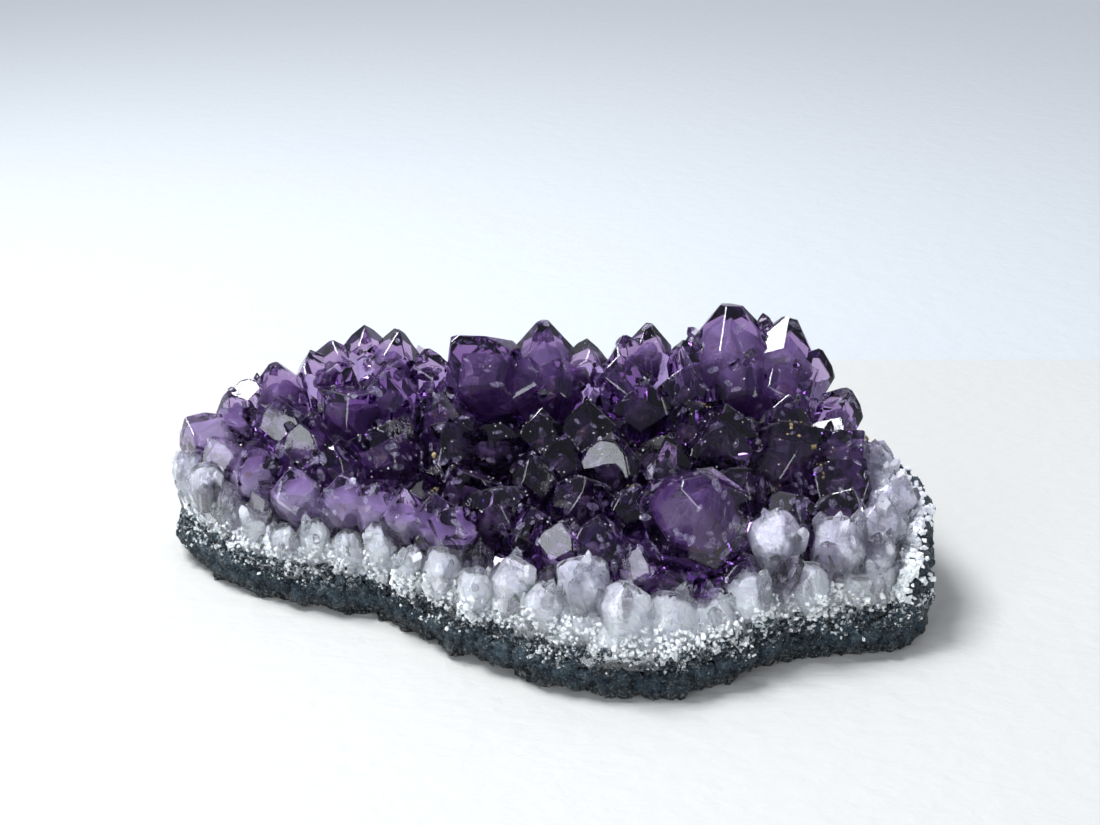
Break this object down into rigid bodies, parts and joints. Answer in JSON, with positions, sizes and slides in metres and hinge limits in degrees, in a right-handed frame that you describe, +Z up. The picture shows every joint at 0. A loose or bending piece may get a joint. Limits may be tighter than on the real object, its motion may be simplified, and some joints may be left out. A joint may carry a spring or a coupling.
{
  "type": "amethyst cluster",
  "caption": "Amethyst crystals packed together on a band of white quartz, over a thin slab of dark rock with a flat underside.",
  "frame": {"origin": "on the surface the cluster stands on, below the middle of its bounding box", "axes": "+X along its length, from the pointed end to the blunt end; +Y towards its high back edge; +Z up"},
  "size_m": [0.1444, 0.0796, 0.0453],
  "materials": {
    "dark_rock": "rough broken rock, dark green to black",
    "white_quartz": "frosty, granular, slightly see-through",
    "amethyst": "clear to cloudy purple crystal with natural faces"
  },
  "bodies": {
    "root": {"rock_base": "dark_rock", "quartz_band": "white_quartz", "amethyst_crystals": "amethyst"}
  },
  "joints": []
}
